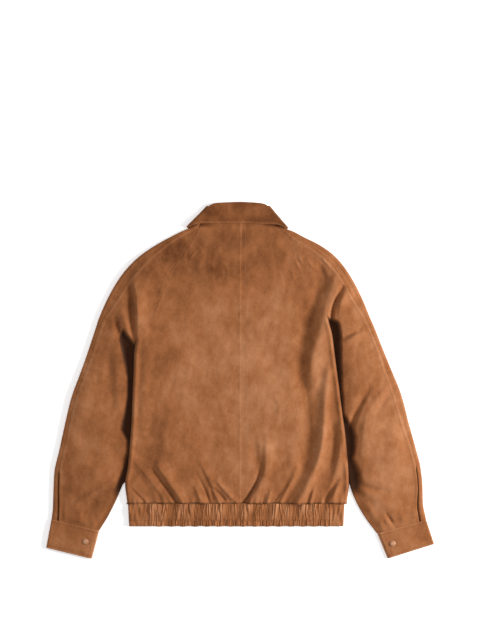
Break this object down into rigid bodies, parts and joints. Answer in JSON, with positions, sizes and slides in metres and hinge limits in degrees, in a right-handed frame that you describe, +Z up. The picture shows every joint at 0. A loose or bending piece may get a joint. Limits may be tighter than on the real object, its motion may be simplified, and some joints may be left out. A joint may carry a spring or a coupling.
{
  "type": "suede blouson jacket, laid flat face down",
  "caption": "Raglan-sleeved suede blouson laid flat on its front, with a turned-down collar, gathered elastic hem band and barrel cuffs closed by press studs.",
  "frame": {"origin": "on the surface that the jacket lies on, below the middle of its outline", "axes": "+X to the wearer's right, +Y towards the collar, +Z up from the surface, out of the back"},
  "size_m": [0.8529, 0.7836, 0.0183],
  "materials": {
    "suede": "tan brushed suede with a soft, patchy nap",
    "collar_suede": "tan brushed suede, darker along the collar",
    "band_suede": "tan brushed suede, doubled and gathered",
    "stud": "satin brown enamel in the suede's colour"
  },
  "bodies": {
    "root": {"back_left": "suede", "back_right": "suede", "front_left": "suede", "front_right": "suede", "sleeve_back_left": "suede", "sleeve_back_right": "suede", "sleeve_front_left": "suede", "sleeve_front_right": "suede", "collar_fall": "collar_suede", "collar_stand": "collar_suede", "hem_band_back": "band_suede", "hem_band_left": "band_suede", "hem_band_right": "band_suede", "cuff_left": "suede", "cuff_right": "suede", "stud_cuff_left": "stud", "stud_cuff_right": "stud", "stud_front_1": "stud", "stud_front_2": "stud", "stud_front_3": "stud", "stud_front_4": "stud", "stud_front_5": "stud", "stud_front_6": "stud"}
  },
  "joints": []
}
